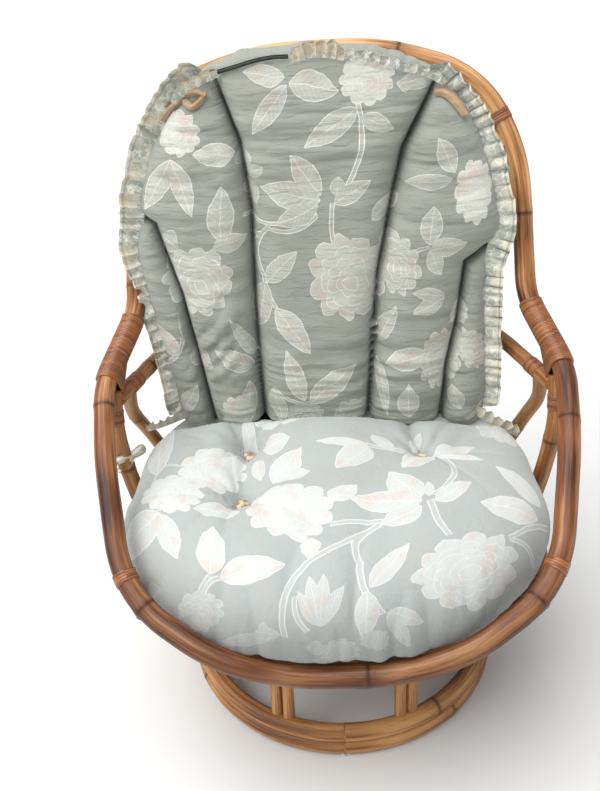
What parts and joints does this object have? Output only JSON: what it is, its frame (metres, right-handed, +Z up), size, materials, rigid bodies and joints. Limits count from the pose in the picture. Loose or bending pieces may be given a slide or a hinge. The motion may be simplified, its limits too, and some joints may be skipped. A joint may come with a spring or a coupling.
{
  "type": "swivel rocker armchair",
  "caption": "Low rattan armchair with hooped arms and back on a round swivel rocker base, with a puffy round seat cushion and a channelled back cushion.",
  "frame": {"origin": "on the floor, on the turntable's axis, under the middle of the chair", "axes": "+Z up, -Y towards the front of the seat, +X to the right of a viewer who faces the chair"},
  "size_m": [0.7838, 0.7565, 1.0436],
  "materials": {
    "rattan_pole": "honey brown varnished rattan poles, streaky along the grain",
    "cane_binding": "varnished split cane, wound tight",
    "black_steel": "black painted pressed steel",
    "bright_steel": "zinc plated steel",
    "nylon_glide": "off-white nylon",
    "floral_fabric": "sage green printed cotton with pale outlined leaves and flowers",
    "button_fabric": "brown covered buttons"
  },
  "bodies": {
    "base": {"base_ring_lower": "rattan_pole", "base_ring_upper": "rattan_pole", "floor_glides": "nylon_glide", "base_arch_left_inner": "rattan_pole", "base_arch_left_outer": "rattan_pole", "base_arch_right_inner": "rattan_pole", "base_arch_right_outer": "rattan_pole", "base_arch_front_inner": "rattan_pole", "base_arch_front_outer": "rattan_pole", "base_arch_rear_inner": "rattan_pole", "base_arch_rear_outer": "rattan_pole", "swivel_base_plate": "black_steel", "base_plate_bolts": "bright_steel", "bearing_race_lower": "bright_steel", "king_pin": "bright_steel", "king_nut": "bright_steel"},
    "turntable": {"bearing_race_upper": "bright_steel", "bearing_balls": "bright_steel", "bearing_cage": "bright_steel", "rocker_yoke": "black_steel", "pivot_pin": "bright_steel", "pivot_clips": "bright_steel", "rocker_springs_front": "bright_steel", "rocker_springs_rear": "bright_steel"},
    "seat": {"front_hoop": "rattan_pole", "back_hoop": "rattan_pole", "seat_ring": "rattan_pole", "side_strut_right": "rattan_pole", "side_strut_left": "rattan_pole", "lumbar_hoop": "rattan_pole", "rear_strut_right": "rattan_pole", "rear_strut_left": "rattan_pole", "back_inner_arch": "rattan_pole", "front_post_right": "rattan_pole", "front_post_left": "rattan_pole", "cross_rail_front": "rattan_pole", "cross_rail_rear": "rattan_pole", "seat_rod_1": "rattan_pole", "seat_rod_2": "rattan_pole", "seat_rod_3": "rattan_pole", "seat_rod_4": "rattan_pole", "seat_rod_5": "rattan_pole", "seat_rod_6": "rattan_pole", "seat_rod_7": "rattan_pole", "back_spindle_1": "rattan_pole", "back_spindle_2": "rattan_pole", "back_spindle_3": "rattan_pole", "back_spindle_4": "rattan_pole", "back_spindle_5": "rattan_pole", "shoulder_binding_right": "cane_binding", "shoulder_binding_left": "cane_binding", "strut_bindings": "cane_binding", "lumbar_bindings": "cane_binding", "front_bindings": "cane_binding", "arch_bindings": "cane_binding", "seat_bracket": "black_steel", "seat_bracket_bolts": "bright_steel", "seat_cushion": "floral_fabric", "back_cushion": "floral_fabric", "seat_buttons": "button_fabric"}
  },
  "joints": [
    {"name": "seat_swivel", "type": "hinge", "parent": "base", "child": "turntable", "pos_m": [0, 0, 0.225], "axis": [0, 0, 1], "continuous": true},
    {"name": "seat_rock", "type": "hinge", "parent": "turntable", "child": "seat", "pos_m": [0, 0, 0.256], "axis": [1, 0, 0], "range_deg": [-12, 8], "stiffness_Nm_per_rad": 900, "deforming": ["rocker_springs_front", "rocker_springs_rear"]}
  ]
}
